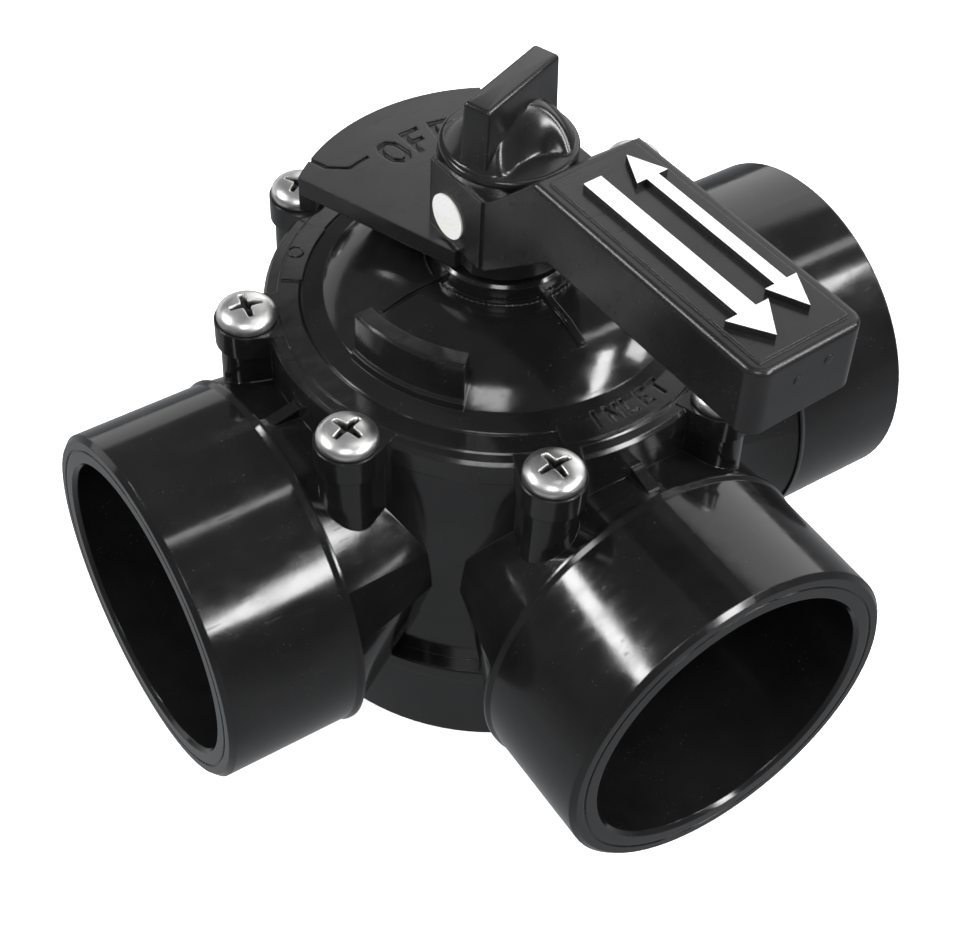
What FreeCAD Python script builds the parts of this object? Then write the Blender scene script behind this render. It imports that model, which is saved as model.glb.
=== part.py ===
# Three way diverter valve for 2 in pipe (2 1/2 in pipe outside the ports), in millimetres.
# +Z runs up the stem, the origin is the centre of the foot, the two run ports lie along X and the
# branch (inlet) port points along -Y.
import FreeCAD, Part
import math
import os
import re
import Sketcher

os.makedirs("parts", exist_ok=True)
doc = FreeCAD.newDocument("ThreeWayValve")

# ------------------------------------------------------------------ driving dimensions
DIMENSIONS = [
    # body
    ("port_height", 39.0), ("port_reach", 82.0), ("port_radius", 36.5), ("socket_radius", 30.25),
    ("socket_depth", 34.0), ("bore_radius", 25.0), ("bore_start", 20.0), ("mouth_edge", 1.0),
    ("ring_radius", 37.0), ("ring_reach", 53.3), ("ring_width", 0.6), ("ring_slope", 1.0),
    ("neck_radius", 34.4), ("neck_flat", 29.4), ("neck_reach", 30.0), ("flank_low", 8.5),
    ("keel_radius", 23.2), ("keel_angle", 24.6), ("round_flank_angle", 13.0),
    ("barrel_radius", 46.0), ("foot_radius", 45.8), ("waist_radius", 43.6), ("band_radius", 46.8),
    ("band_low", 19.5), ("band_high", 23.0), ("ledge_height", 39.0), ("joint_height", 79.0),
    ("flange_low", 70.5), ("undercut_low", 64.0), ("undercut_depth", 0.9), ("undercut_sweep", 30.0),
    ("chamber_radius", 38.0), ("chamber_floor", 6.0), ("pivot_pocket_radius", 9.0),
    ("pivot_boss_radius", 13.0), ("pivot_pocket_floor", 3.5), ("pivot_boss_top", 8.0),
    ("bolt_circle", 49.6), ("bolt_angle", 22.5), ("boss_radius", 5.7), ("boss_low", 54.0),
    ("boss_draft", 0.8), ("pilot_radius", 2.45), ("pilot_depth", 15.6),
    ("gusset_width", 2.6), ("gusset_reach", 51.8), ("gusset_top", 77.5), ("gusset_end", 75.6),
    ("gusset_low", 68.0),
    # cover
    ("cover_radius", 46.2), ("cover_top", 84.2), ("ear_radius", 6.3), ("ear_top", 84.4),
    ("rim_radius", 43.4), ("ring_step", 0.35), ("track_radius", 39.4), ("dome_radius", 34.6),
    ("dome_low", 86.0), ("dome_high", 94.2), ("dome_curve", 25.0), ("neck_outer", 14.0),
    ("neck_top", 98.0), ("bush_outer", 10.5), ("spigot_radius", 37.75), ("spigot_low", 76.0),
    ("spigot_inner", 34.0), ("cover_wall", 4.0), ("thrust_face", 83.0), ("thrust_boss", 15.5),
    ("clearance_radius", 2.7), ("stop_outer", 34.4), ("stop_inner", 30.7), ("stop_top", 96.5),
    ("stop_sweep", 41.0), ("stop_start", 184.0), ("stop_foot_top", 87.6), ("stop_foot_outer", 35.2),
    ("inlet_pad_start", 252.0), ("inlet_pad_sweep", 44.0), ("mark_pad_start", 122.0),
    ("mark_pad_sweep", 23.0), ("inlet_radius", 39.0), ("inlet_angle", 274.0), ("inlet_step", 5.4),
    ("inlet_letter", 4.2), ("inlet_depth", 0.4), ("pad_height", 0.5),
    ("spoke_width", 1.2), ("spoke_reach", 27.0), ("spoke_bend", 22.0), ("spoke_rise", 6.6),
    ("seal_inner", 39.6), ("seal_outer", 42.4), ("seal_depth", 2.6), ("seal_wire", 1.3),
    # rotor
    ("handle_turn", 3.5), ("disc_radius", 37.2), ("lower_disc_low", 8.6), ("disc_thick", 2.6),
    ("upper_disc_low", 72.4), ("shield_inner", 32.0), ("shield_outer", 36.6), ("shield_sweep", 106.0),
    ("pivot_radius", 6.0), ("pivot_low", 4.6), ("hub_radius", 13.0), ("hub_low", 58.0),
    ("rib_half", 1.5), ("face_seal_outer", 37.93), ("face_seal_hole", 25.2), ("face_seal_edge", 27.6),
    ("stem_radius", 8.0), ("stem_low", 59.0), ("collar_radius", 13.0), ("collar_low", 77.4),
    ("collar_top", 81.4), ("drive_radius", 7.0), ("drive_low", 99.0), ("drive_top", 119.2),
    ("drive_flat", 5.6), ("thread_radius", 3.5), ("stem_top", 124.2), ("ring_wire", 1.05),
    ("lower_ring", 86.6), ("upper_ring", 92.4), ("groove_radius", 5.85), ("groove_half", 1.3),
    ("bush_low", 83.0), ("bush_top", 96.2), ("bush_bore", 8.06), ("wiper_top", 98.3),
    ("washer_thick", 1.5), ("key_width", 4.0), ("key_depth", 2.4), ("key_rise", 1.9),
    ("key_low", 62.0), ("key_high", 74.0), ("foot_bush_outer", 8.95), ("foot_bush_low", 3.55),
    ("foot_bush_top", 7.9), ("press_gap", 0.03), ("turning_gap", 0.05), ("loose_gap", 0.2),
    # handle
    ("hub_half", 11.9), ("hub_front", 9.4), ("hub_back", 7.0), ("hub_bottom", 99.0),
    ("facet_low", 102.5), ("facet_front", 8.4), ("facet_thick", 0.5), ("hub_top", 118.4),
    ("collar_outer", 13.2), ("grip_top", 131.0), ("grip_low", 117.3), ("grip_half", 11.9),
    ("grip_start", 22.0), ("grip_end", 78.6), ("grip_wall", 2.6), ("grip_corner", 3.2),
    ("grip_crest", 1.1), ("haunch_start", 27.0), ("plate_top", 103.0), ("plate_thick", 4.0),
    ("plate_radius", 40.8), ("plate_half_near", 13.5), ("plate_half_far", 25.6), ("plate_near", 2.6),
    ("skirt_low", 95.0), ("skirt_wall", 3.2), ("lug_half", 2.2), ("lug_low", 91.0),
    ("off_radius", 28.6), ("off_letter", 7.4), ("off_step", 12.0), ("letter_depth", 0.7),
    ("panel_inset", 2.4), ("panel_height", 0.5), ("panel_start", 23.4),
    # marks on the handle: half widths, and distances from the axis
    ("legend_height", 1.2), ("arrow_head", 7.0), ("long_middle", 4.2), ("long_shaft", 1.9),
    ("long_head", 4.6), ("long_tail", 28.0), ("long_tip", 74.0), ("pair_middle", 4.9),
    ("pair_shaft", 1.3), ("pair_head", 3.4), ("pair_tail", 26.0), ("pair_tip", 72.0),
    ("label_radius", 4.5), ("label_thick", 0.4), ("label_height", 108.4), ("label_back", 1.2),
    # knob
    ("knob_low", 119.9), ("knob_radius", 13.0), ("knob_rim", 1.8), ("knob_edge", 0.6),
    ("knob_bevel", 0.8), ("knob_scoop", 14.0), ("knob_crown", 127.5), ("knob_crown_radius", 5.0),
    ("blade_top", 135.0), ("blade_half", 11.0), ("blade_flare", 0.6), ("blade_thick", 5.6),
    ("blade_turn", 21.5), ("insert_radius", 4.9), ("insert_top", 124.6), ("knob_room", 13.8),
    ("clip_low", 117.0), ("clip_thick", 1.0), ("clip_pocket", 9.5), ("clip_groove", 0.8),
    ("clip_start", 20.0), ("clip_sweep", 320.0),
    # screws
    ("screw_radius", 2.4), ("head_radius", 5.8), ("head_height", 3.4), ("screw_length", 20.0),
    ("head_edge", 1.0), ("head_shoulder", 4.4), ("head_dome", 12.0), ("head_flat", 2.6),
    ("cross_width", 1.5), ("cross_reach", 3.1), ("cross_depth", 2.2),
    # how far a cut runs on past the material it clears
    ("beyond", 80.0),
]
sizes = doc.addObject("Spreadsheet::Sheet", "Sizes")
for row, (alias, number) in enumerate(DIMENSIONS, 1):
    sizes.set("A%d" % row, alias)
    sizes.set("B%d" % row, str(number))
    sizes.setAlias("B%d" % row, alias)
doc.recompute()
ALIASES = {alias for alias, number in DIMENSIONS}


def full(expression):
    """The expression with every dimension's name spelled as a cell of the sheet."""
    def spelled(match):
        word = match.group()
        return "Sizes." + word if word in ALIASES else word
    return re.sub(r"[a-z_]+", spelled, str(expression))


def size(expression):
    """The expression's present value as a number."""
    return float(sizes.evalExpression(full(expression)))


# ------------------------------------------------------------------ modelling helpers
def new_body(name):
    body = doc.addObject("PartDesign::Body", name)
    body.Label = name
    return body


def new_sketch(body, role, up="0", out="0", turn="0"):
    """A sketch on an origin plane: up moves it along its own Y, out along its normal, and turn
    swings an upright sketch about Z (or spins a flat one in its plane)."""
    sketch = body.newObject("Sketcher::SketchObject", body.Name + "_sketch")
    plane = [item for item in body.Origin.OriginFeatures if item.Role == role][0]
    sketch.AttachmentSupport = (plane, [""])
    sketch.MapMode = "FlatFace"
    axis = FreeCAD.Vector(0, 0, 1) if role == "XY_Plane" else FreeCAD.Vector(0, 1, 0)
    rotation = FreeCAD.Rotation(axis, size(turn))
    sketch.AttachmentOffset = FreeCAD.Placement(FreeCAD.Vector(0, size(up), size(out)), rotation)
    sketch.setExpression(".AttachmentOffset.Base.y", full(up))
    sketch.setExpression(".AttachmentOffset.Base.z", full(out))
    if size(turn) != 0:
        sketch.setExpression(".AttachmentOffset.Rotation.Angle", full(turn))
    return sketch


def pin(sketch, edge, end, across, upward):
    """Hold one end of an edge at a place given by two expressions."""
    for kind, expression, axis in (("DistanceX", across, -2), ("DistanceY", upward, -1)):
        value = size(expression)
        if abs(value) < 1e-9:
            sketch.addConstraint(Sketcher.Constraint("PointOnObject", edge, end, axis))
        else:
            index = sketch.addConstraint(Sketcher.Constraint(kind, -1, 1, edge, end, value))
            sketch.setExpression("Constraints[%d]" % index, full(expression))


def outline(sketch, points):
    """A closed outline. A point is (across, up), or (across, up, radius) when the edge that
    leaves it is an arc: a positive radius turns left, a negative one turns right."""
    places = [FreeCAD.Vector(size(point[0]), size(point[1]), 0) for point in points]
    ends = []
    first = sketch.GeometryCount
    for index, point in enumerate(points):
        start = places[index]
        stop = places[(index + 1) % len(points)]
        if len(point) == 2:
            sketch.addGeometry(Part.LineSegment(start, stop), False)
            ends.append((1, 2))
            continue
        radius = size(point[2])
        chord = stop - start
        left = FreeCAD.Vector(-chord.y, chord.x, 0).normalize()
        rise = math.sqrt(max(radius ** 2 - (chord.Length / 2) ** 2, 0))
        centre = (start + stop) / 2 + left * math.copysign(rise, radius)
        angles = [math.atan2(place.y - centre.y, place.x - centre.x) for place in (start, stop)]
        if radius < 0:
            angles.reverse()
        circle = Part.Circle(centre, FreeCAD.Vector(0, 0, 1), abs(radius))
        sketch.addGeometry(Part.ArcOfCircle(circle, angles[0], angles[1]), False)
        ends.append((1, 2) if radius > 0 else (2, 1))
    for index, point in enumerate(points):
        following = (index + 1) % len(points)
        sketch.addConstraint(Sketcher.Constraint("Coincident", first + index, ends[index][1],
                                                 first + following, ends[following][0]))
        pin(sketch, first + index, ends[index][0], point[0], point[1])
    for index, point in enumerate(points):
        if len(point) < 3:
            continue
        radius = abs(size(point[2]))
        chord = places[(index + 1) % len(points)] - places[index]
        if abs(chord.Length - 2 * radius) < 1e-6:
            middle = size(point[0])
            number = sketch.addConstraint(
                Sketcher.Constraint("DistanceX", -1, 1, first + index, 3, middle))
            sketch.setExpression("Constraints[%d]" % number, full(point[0]))
        else:
            number = sketch.addConstraint(Sketcher.Constraint("Radius", first + index, radius))
            sketch.setExpression("Constraints[%d]" % number, "abs(%s)" % full(point[2]))


def disc(sketch, across, upward, radius):
    """A whole circle."""
    centre = FreeCAD.Vector(size(across), size(upward), 0)
    edge = sketch.addGeometry(Part.Circle(centre, FreeCAD.Vector(0, 0, 1), size(radius)), False)
    pin(sketch, edge, 3, across, upward)
    number = sketch.addConstraint(Sketcher.Constraint("Radius", edge, size(radius)))
    sketch.setExpression("Constraints[%d]" % number, full(radius))


def revolve(body, points, cut=False, role="XZ_Plane", axis="V_Axis", up="0", turn="0", sweep="360"):
    """Turn an outline about an axis of its own sketch, as material or as a cut."""
    sketch = new_sketch(body, role, up=up, turn=turn)
    outline(sketch, points)
    kind = "PartDesign::Groove" if cut else "PartDesign::Revolution"
    feature = body.newObject(kind, body.Name + "_turned")
    feature.Profile = sketch
    feature.ReferenceAxis = (sketch, [axis])
    feature.setExpression("Angle", full(sweep))
    doc.recompute()
    return feature


def extrude(body, draw, length, cut=False, role="XY_Plane", up="0", out="0", turn="0",
            middle=False, taper="0"):
    """Pad or pocket the outline that draw(sketch) makes; both go along the sketch's normal."""
    sketch = new_sketch(body, role, up=up, out=out, turn=turn)
    draw(sketch)
    kind = "PartDesign::Pocket" if cut else "PartDesign::Pad"
    feature = body.newObject(kind, body.Name + "_extruded")
    feature.Profile = sketch
    feature.setExpression("Length", full(length))
    feature.Midplane = middle
    if cut and not middle:
        feature.Reversed = True
    if size(taper) != 0:
        feature.setExpression("TaperAngle", full(taper))
    doc.recompute()
    return feature


def polar(body, originals, count, span="360", reverse=False):
    """Repeat features about Z."""
    pattern = body.newObject("PartDesign::PolarPattern", body.Name + "_pattern")
    pattern.Originals = originals
    upright = [item for item in body.Origin.OriginFeatures if item.Role == "Z_Axis"][0]
    pattern.Axis = (upright, [""])
    pattern.setExpression("Angle", full(span))
    pattern.Occurrences = count
    pattern.Reversed = reverse
    body.Tip = pattern
    doc.recompute()
    return pattern


def round_edges(body, feature, radius, chosen):
    """Fillet the edges of a feature for which chosen(edge) is true."""
    names = ["Edge%d" % (index + 1) for index, edge in enumerate(feature.Shape.Edges)
             if chosen(edge)]
    fillet = body.newObject("PartDesign::Fillet", body.Name + "_rounded")
    fillet.Base = (feature, names)
    fillet.setExpression("Radius", full(radius))
    doc.recompute()
    return fillet


def polygon(points):
    """A drawing function for a closed outline."""
    return lambda sketch: outline(sketch, points)


def circle_at(across, upward, radius):
    """A drawing function for a whole circle."""
    return lambda sketch: disc(sketch, across, upward, radius)


def rectangle(left, right, low, high):
    """A drawing function for an upright rectangle."""
    return polygon([(left, low), (right, low), (right, high), (left, high)])


GLYPHS = {
    "I": [[(-0.1, 0), (0.1, 0), (0.1, 1), (-0.1, 1)]],
    "L": [[(-0.3, 0), (0.3, 0), (0.3, 0.18), (-0.1, 0.18), (-0.1, 1), (-0.3, 1)]],
    "T": [[(-0.1, 0), (0.1, 0), (0.1, 0.82), (0.32, 0.82), (0.32, 1), (-0.32, 1), (-0.32, 0.82),
           (-0.1, 0.82)]],
    "E": [[(-0.3, 0), (0.3, 0), (0.3, 0.18), (-0.1, 0.18), (-0.1, 0.41), (0.2, 0.41), (0.2, 0.59),
           (-0.1, 0.59), (-0.1, 0.82), (0.3, 0.82), (0.3, 1), (-0.3, 1)]],
    "F": [[(-0.3, 0), (-0.1, 0), (-0.1, 0.41), (0.2, 0.41), (0.2, 0.59), (-0.1, 0.59),
           (-0.1, 0.82), (0.3, 0.82), (0.3, 1), (-0.3, 1)]],
    "N": [[(-0.34, 0), (-0.15, 0), (-0.15, 0.6), (0.15, 0), (0.34, 0), (0.34, 1), (0.15, 1),
           (0.15, 0.4), (-0.15, 1), (-0.34, 1)]],
    "O": [[(-0.15, 0), (0.15, 0), (0.35, 0.25), (0.35, 0.75), (0.15, 1), (-0.15, 1),
           (-0.35, 0.75), (-0.35, 0.25)],
          [(-0.08, 0.18), (0.08, 0.18), (0.17, 0.32), (0.17, 0.68), (0.08, 0.82), (-0.08, 0.82),
           (-0.17, 0.68), (-0.17, 0.32)]],
}


def engrave(body, word, radius, side, angle, height, step, top, depth):
    """Sink plain block letters along an arc about Z. Side is -1 when the letters' heads point to
    the axis and 1 when they point away from it; angle is the middle of the word, step the turn
    from one letter to the next, all in degrees."""
    for place, letter in enumerate(word):
        offset = side * ((len(word) - 1) / 2 - place)
        turn = "%s - 90 * %d + %s * (%s)" % (angle, 2 - side, offset, step)
        middle = "(%s) * %d" % (radius, side)

        def draw(sketch, letter=letter, middle=middle):
            for loop in GLYPHS[letter]:
                outline(sketch, [("%s * (%s)" % (across, height),
                                  "%s + %s * (%s)" % (middle, upward - 0.5, height))
                                 for across, upward in loop])
        extrude(body, draw, "%s + 1" % depth, cut=True, out="%s - %s" % (top, depth), turn=turn)


def ear(inner, centre, radius):
    """A drawing function for a tongue that ends in a half circle, pointing along X."""
    return polygon([(inner, "-(%s)" % radius), (centre, "-(%s)" % radius, radius),
                    (centre, radius), (inner, radius)])


def flatted(radius, half):
    """A drawing function for a circle with two flats, at half either side of the middle."""
    end = "sqrt(%s ^ 2 - %s ^ 2)" % (radius, half)
    return polygon([(half, end, radius), ("-" + half, end), ("-" + half, "-" + end, radius),
                    (half, "-" + end)])


def arrow(middle, shaft, head, tail, tip, both_ends):
    """The outline of an arrow along -Y: shaft and head are half widths."""
    left = ["%s - %s" % (middle, part) for part in (shaft, head)]
    right = ["%s + %s" % (middle, part) for part in (shaft, head)]
    neck = "-%s + arrow_head" % tip
    points = [(left[0], neck), (left[1], neck), (middle, "-%s" % tip), (right[1], neck),
              (right[0], neck)]
    if both_ends:
        crook = "-%s - arrow_head" % tail
        points += [(right[0], crook), (right[1], crook), (middle, "-%s" % tail), (left[1], crook),
                   (left[0], crook)]
    else:
        points += [(right[0], "-%s" % tail), (left[0], "-%s" % tail)]
    return points


def stand_turned(body, turn="handle_turn"):
    """Stand a piece at its present angle about Z, which for the rotor is the handle's."""
    body.Placement = FreeCAD.Placement(FreeCAD.Vector(), FreeCAD.Rotation(size(turn), 0, 0))
    body.setExpression(".Placement.Rotation.Angle", full(turn))


# ------------------------------------------------------------------ valve body
def make_valve_body():
    body = new_body("valve_body")
    revolve(body, [("0", "0"), ("foot_radius - 1", "0"), ("foot_radius", "1"),
                   ("foot_radius", "band_low - 0.6"), ("band_radius", "band_low"),
                   ("band_radius", "band_high - 0.4"), ("band_radius - 0.4", "band_high"),
                   ("waist_radius", "band_high"), ("waist_radius", "ledge_height - 0.5"),
                   ("barrel_radius", "ledge_height"), ("barrel_radius", "joint_height"),
                   ("0", "joint_height")])
    port = revolve(body, [("ring_reach", "0"), ("port_reach", "0"),
                          ("port_reach", "port_radius - mouth_edge"),
                          ("port_reach - mouth_edge", "port_radius"),
                          ("ring_reach + ring_width + ring_slope", "port_radius"),
                          ("ring_reach + ring_width", "ring_radius"),
                          ("ring_reach", "ring_radius")], axis="H_Axis", up="port_height")
    neck = make_neck(body)
    gusset = extrude(body, polygon([("barrel_radius - 2", "gusset_low"),
                                    ("gusset_reach", "gusset_low"), ("gusset_reach", "gusset_end"),
                                    ("barrel_radius - 2", "gusset_top")]),
                     "gusset_width", role="XZ_Plane", middle=True)
    polar(body, [port, neck, gusset], 3, span="180", reverse=True)
    boss = extrude(body, ear("barrel_radius - 6", "bolt_circle", "boss_radius"),
                   "joint_height - boss_low", out="boss_low", turn="bolt_angle", taper="-boss_draft")
    polar(body, [boss], 8)
    # The hollow under the flange is at the back alone, where there is no port.
    revolve(body, [("barrel_radius - undercut_depth", "undercut_low"),
                   ("barrel_radius + 1", "undercut_low"), ("barrel_radius + 1", "flange_low"),
                   ("barrel_radius - undercut_depth", "flange_low")],
            cut=True, turn="90 - undercut_sweep / 2", sweep="undercut_sweep")
    revolve(body, [("0", "chamber_floor"), ("chamber_radius", "chamber_floor"),
                   ("chamber_radius", "joint_height + 1"), ("0", "joint_height + 1")], cut=True)
    revolve(body, [("pivot_pocket_radius", "chamber_floor - 1"),
                   ("pivot_boss_radius", "chamber_floor - 1"),
                   ("pivot_boss_radius", "pivot_boss_top"),
                   ("pivot_pocket_radius", "pivot_boss_top")])
    revolve(body, [("0", "pivot_pocket_floor"), ("pivot_pocket_radius", "pivot_pocket_floor"),
                   ("pivot_pocket_radius", "pivot_boss_top + 1"), ("0", "pivot_boss_top + 1")],
            cut=True)
    revolve(body, [("seal_inner", "joint_height - seal_depth"),
                   ("seal_outer", "joint_height - seal_depth"),
                   ("seal_outer", "joint_height + 1"), ("seal_inner", "joint_height + 1")],
            cut=True)
    bore = revolve(body, [("bore_start", "0"), ("port_reach + 1", "0"),
                          ("port_reach + 1", "socket_radius + 1.6"),
                          ("port_reach - 0.8", "socket_radius"),
                          ("port_reach - socket_depth", "socket_radius"),
                          ("port_reach - socket_depth", "bore_radius"),
                          ("bore_start", "bore_radius")],
                   cut=True, axis="H_Axis", up="port_height")
    polar(body, [bore], 3, span="180", reverse=True)
    witness = revolve(body, [("port_reach - 0.25", "(socket_radius + port_radius) / 2"),
                             ("port_reach + 0.5", "(socket_radius + port_radius) / 2"),
                             ("port_reach + 0.5", "(socket_radius + port_radius) / 2 + 0.5"),
                             ("port_reach - 0.25", "(socket_radius + port_radius) / 2 + 0.5")],
                      cut=True, axis="H_Axis", up="port_height")
    polar(body, [witness], 3, span="180", reverse=True)
    pilot = extrude(body, circle_at("bolt_circle", "0", "pilot_radius"), "pilot_depth + 1",
                    cut=True, out="joint_height - pilot_depth", turn="bolt_angle")
    polar(body, [pilot], 8)
    return body


def make_neck(body):
    """The neck of one port. Where it leaves the barrel it has a broad crown, two flat sides, two
    leaning flanks and a narrow round keel; where it meets the port it is round."""
    half = "sqrt(neck_radius ^ 2 - neck_flat ^ 2)"
    keel = ("keel_radius * cos(keel_angle)", "0 - keel_radius * sin(keel_angle)")
    barrel_side = [("neck_flat", half), ("neck_flat", "flank_low"), keel]
    port_side = [("port_radius * neck_flat / neck_radius", "port_radius * %s / neck_radius" % half),
                 ("port_radius * cos(round_flank_angle)", "port_radius * sin(round_flank_angle)"),
                 ("port_radius * cos(keel_angle)", "0 - port_radius * sin(keel_angle)")]
    sections = []
    for reach, corners, crown, flank, bottom in (
            ("neck_reach", barrel_side, "neck_radius", [], "keel_radius"),
            ("ring_reach + 0.5", port_side, "port_radius", ["port_radius"], "port_radius")):
        top, middle, low = corners
        sketch = new_sketch(body, "YZ_Plane", up="port_height", out=reach)
        outline(sketch, [(*top, crown), ("-(%s)" % top[0], top[1], *flank),
                         ("-(%s)" % middle[0], middle[1], *flank),
                         ("-(%s)" % low[0], low[1], bottom), ("0", "-(%s)" % bottom, bottom),
                         (*low, *flank), (*middle, *flank)])
        sections.append(sketch)
    loft = body.newObject("PartDesign::AdditiveLoft", "neck_loft")
    loft.Profile = sections[0]
    loft.Sections = sections[1:]
    loft.Ruled = True
    doc.recompute()
    return loft


# ------------------------------------------------------------------ cover
def make_cover():
    body = new_body("cover")
    revolve(body, [("bush_outer", "thrust_face"), ("thrust_boss", "thrust_face"),
                   ("thrust_boss", "dome_high - cover_wall", "0 - (dome_curve - cover_wall)"),
                   ("spigot_inner - 1.5", "dome_low - cover_wall - 0.8"),
                   ("spigot_inner", "joint_height"), ("spigot_inner", "spigot_low"),
                   ("spigot_radius - 0.5", "spigot_low"), ("spigot_radius", "spigot_low + 0.5"),
                   ("spigot_radius", "joint_height"), ("cover_radius", "joint_height"),
                   ("cover_radius", "cover_top - 0.7"), ("cover_radius - 0.7", "cover_top"),
                   ("rim_radius + ring_step", "cover_top"), ("rim_radius", "cover_top + ring_step"),
                   ("track_radius", "cover_top + ring_step"), ("track_radius - 0.3", "cover_top"),
                   ("track_radius - 0.6", "cover_top + 0.5"),
                   ("dome_radius", "dome_low", "dome_curve"), ("neck_outer", "dome_high"),
                   ("neck_outer", "neck_top - 0.6"), ("neck_outer - 0.6", "neck_top"),
                   ("bush_outer", "neck_top")])
    lug = extrude(body, ear("cover_radius - 5", "bolt_circle", "ear_radius"),
                  "ear_top - joint_height", out="joint_height", turn="bolt_angle")
    polar(body, [lug], 8)
    for start in ("stop_start", "540 - stop_start - stop_sweep"):
        revolve(body, [("stop_inner", "dome_low - 1"), ("stop_foot_outer", "dome_low - 1"),
                       ("stop_foot_outer", "stop_foot_top"),
                       ("stop_outer", "stop_foot_top + 0.3"), ("stop_outer", "stop_top - 0.5"),
                       ("stop_outer - 0.5", "stop_top"), ("stop_inner", "stop_top")],
                turn=start, sweep="stop_sweep")
    spoke = extrude(body, polygon([("neck_outer - 2", "dome_low"), ("spoke_reach", "dome_low"),
                                   ("spoke_reach", "dome_low + spoke_rise"),
                                   ("spoke_bend", "dome_high + 0.2"),
                                   ("neck_outer - 2", "dome_high + 1.2")]),
                    "spoke_width", role="XZ_Plane", middle=True)
    polar(body, [spoke], 4)
    for start, sweep, inner in (("inlet_pad_start", "inlet_pad_sweep", "track_radius - 3.6"),
                                ("mark_pad_start", "mark_pad_sweep", "track_radius - 0.6")):
        revolve(body, [(inner, "cover_top - 1"), ("rim_radius - 0.4", "cover_top - 1"),
                       ("rim_radius - 0.4", "cover_top + ring_step + pad_height"),
                       (inner, "cover_top + ring_step + pad_height")], turn=start, sweep=sweep)
    engrave(body, "INLET", "inlet_radius", -1, "inlet_angle", "inlet_letter", "inlet_step",
            "cover_top + ring_step + pad_height", "inlet_depth")
    hole = extrude(body, circle_at("bolt_circle", "0", "clearance_radius"),
                   "ear_top - joint_height + 2", cut=True, out="joint_height - 1", turn="bolt_angle")
    polar(body, [hole], 8)
    return body


# ------------------------------------------------------------------ rings, washers and bushes
def make_ring(name, inner, outer, low, high):
    """A plain ring: a washer or a bush."""
    body = new_body(name)
    revolve(body, [(inner, low), (outer, low), (outer, high), (inner, high)])
    return body


def make_seal_ring(name, centre, height, wire):
    """A ring of round section."""
    body = new_body(name)
    sketch = new_sketch(body, "XZ_Plane")
    disc(sketch, centre, height, wire)
    feature = body.newObject("PartDesign::Revolution", name + "_turned")
    feature.Profile = sketch
    feature.ReferenceAxis = (sketch, ["V_Axis"])
    doc.recompute()
    return body


# ------------------------------------------------------------------ rotor
def make_diverter():
    body = new_body("diverter")
    revolve(body, [("0", "upper_disc_low"), ("disc_radius", "upper_disc_low"),
                   ("disc_radius", "upper_disc_low + disc_thick"),
                   ("hub_radius", "upper_disc_low + disc_thick"),
                   ("hub_radius", "collar_low - 0.4"), ("0", "collar_low - 0.4")])
    revolve(body, [("0", "hub_low"), ("hub_radius - 1", "hub_low"), ("hub_radius", "hub_low + 1"),
                   ("hub_radius", "upper_disc_low + 0.5"), ("0", "upper_disc_low + 0.5")])
    revolve(body, [("shield_inner", "lower_disc_low"), ("shield_outer", "lower_disc_low"),
                   ("shield_outer", "upper_disc_low + 1"), ("shield_inner", "upper_disc_low + 1")],
            turn="90 - shield_sweep / 2", sweep="shield_sweep")
    revolve(body, [("0", "pivot_low"), ("pivot_radius - 0.5", "pivot_low"),
                   ("pivot_radius", "pivot_low + 0.5"), ("pivot_radius", "lower_disc_low"),
                   ("disc_radius", "lower_disc_low"),
                   ("disc_radius", "lower_disc_low + disc_thick"),
                   ("0", "lower_disc_low + disc_thick")])
    extrude(body, rectangle("-rib_half", "rib_half", "hub_radius + 4", "shield_inner + 1"),
            "upper_disc_low - lower_disc_low - 1", out="lower_disc_low + 0.5")
    extrude(body, circle_at("0", "0", "stem_radius + press_gap"), "beyond", cut=True, out="stem_low")
    extrude(body, rectangle("-key_width / 2", "key_width / 2", "0", "stem_radius + 2"),
            "key_high - key_low", cut=True, out="key_low")
    stand_turned(body)
    return body


def make_diverter_seal():
    """A flat ring bent to the shield's curve."""
    body = new_body("diverter_seal")

    def ring(sketch):
        disc(sketch, "0", "port_height", "face_seal_edge")
        disc(sketch, "0", "port_height", "face_seal_hole")
    extrude(body, ring, "port_height", role="XZ_Plane", out="-(bore_start + port_height)")
    for inner, outer in (("0", "shield_outer + 0.02"), ("face_seal_outer", "beyond")):
        revolve(body, [(inner, "-1"), (outer, "-1"), (outer, "beyond"), (inner, "beyond")],
                cut=True)
    stand_turned(body)
    return body


def make_stem():
    body = new_body("stem")
    grooves = []
    for middle in ("lower_ring", "upper_ring"):
        grooves += [("stem_radius", "%s - groove_half" % middle),
                    ("groove_radius", "%s - groove_half" % middle),
                    ("groove_radius", "%s + groove_half" % middle),
                    ("stem_radius", "%s + groove_half" % middle)]
    revolve(body, [("0", "stem_low"), ("stem_radius", "stem_low"), ("stem_radius", "collar_low"),
                   ("collar_radius", "collar_low"), ("collar_radius", "collar_top"),
                   ("stem_radius", "collar_top"), *grooves, ("stem_radius", "drive_low"),
                   ("drive_radius", "drive_low"), ("drive_radius", "clip_low"),
                   ("drive_radius - clip_groove", "clip_low"),
                   ("drive_radius - clip_groove", "clip_low + clip_thick"),
                   ("drive_radius", "clip_low + clip_thick"), ("drive_radius", "drive_top"),
                   ("thread_radius", "drive_top"), ("thread_radius", "stem_top - 0.6"),
                   ("thread_radius - 0.6", "stem_top"), ("0", "stem_top")])
    for side in ("drive_flat", "-drive_flat - 4"):
        extrude(body, rectangle(side, side + " + 4", "-10", "10"), "drive_top - drive_low",
                cut=True, out="drive_low")
    extrude(body, rectangle("-key_width / 2", "key_width / 2", "stem_radius - key_depth", "12"),
            "key_high - key_low", cut=True, out="key_low")
    stand_turned(body)
    return body


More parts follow.
